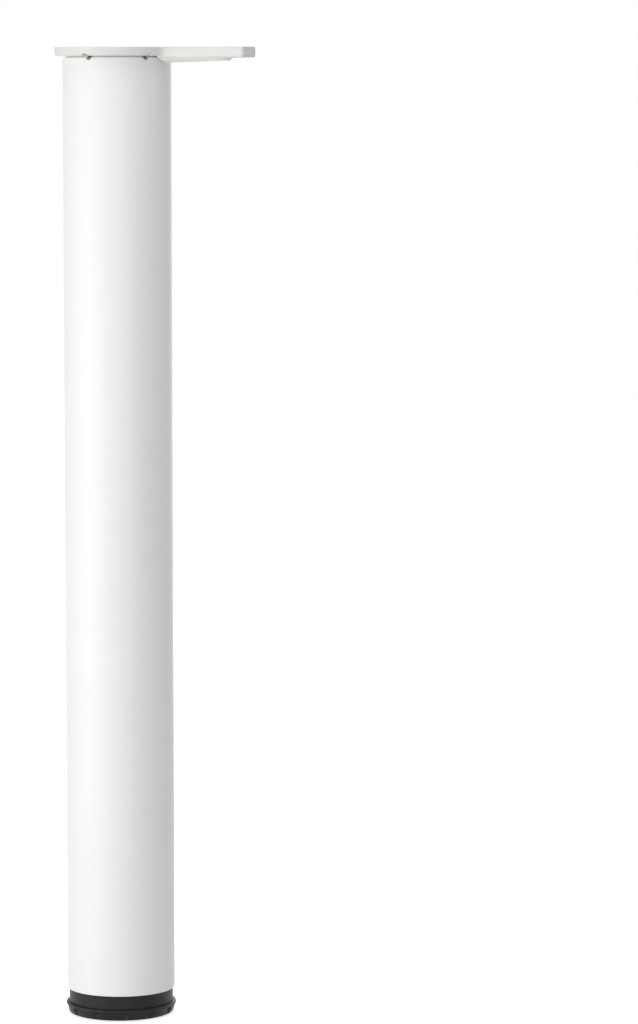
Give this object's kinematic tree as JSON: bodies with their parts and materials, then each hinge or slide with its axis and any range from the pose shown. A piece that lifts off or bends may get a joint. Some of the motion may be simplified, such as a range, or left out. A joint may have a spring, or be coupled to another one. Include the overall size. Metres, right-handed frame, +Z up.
{
  "type": "height adjustable table leg",
  "caption": "Round steel table leg with a die-cast mounting plate whose arms screw under a tabletop, and a screw-in levelling foot with a swivelling floor glide.",
  "frame": {"origin": "on the tube's axis at the floor, the middle of the glide's underside", "axes": "+Z up along the tube to the table face; the plate's two arms point along +X and +Y"},
  "size_m": [0.1585, 0.1585, 0.72],
  "materials": {
    "white_coat": "white powder coat, fine satin texture",
    "plate_coat": "white powder coat over a die casting",
    "zinc_steel": "zinc plated",
    "black_plastic": "black moulded plastic, satin",
    "glide_plastic": "dark grey moulded plastic"
  },
  "bodies": {
    "leg": {"mounting_plate": "plate_coat", "clamp_screws": "zinc_steel", "top_ring": "white_coat", "leg_tube": "white_coat", "nut_carrier": "zinc_steel", "spindle_nut": "zinc_steel"},
    "glide": {"glide_pad": "glide_plastic"},
    "foot": {"adjusting_foot": "black_plastic", "spindle": "zinc_steel", "stop_nut": "zinc_steel", "glide_washer": "zinc_steel"}
  },
  "joints": [
    {"name": "foot_extend", "type": "slide", "parent": "leg", "child": "glide", "axis": [0, 0, -1], "range_m": [-0.01, 0.01]},
    {"name": "foot_turn", "type": "hinge", "parent": "glide", "child": "foot", "pos_m": [0, 0, 0], "axis": [0, 0, -1], "range_deg": [-2400, 2400]}
  ],
  "couplings": [
    {"joint": "foot_extend", "follows": "foot_turn", "m_per_rad": 0.00023873}
  ]
}
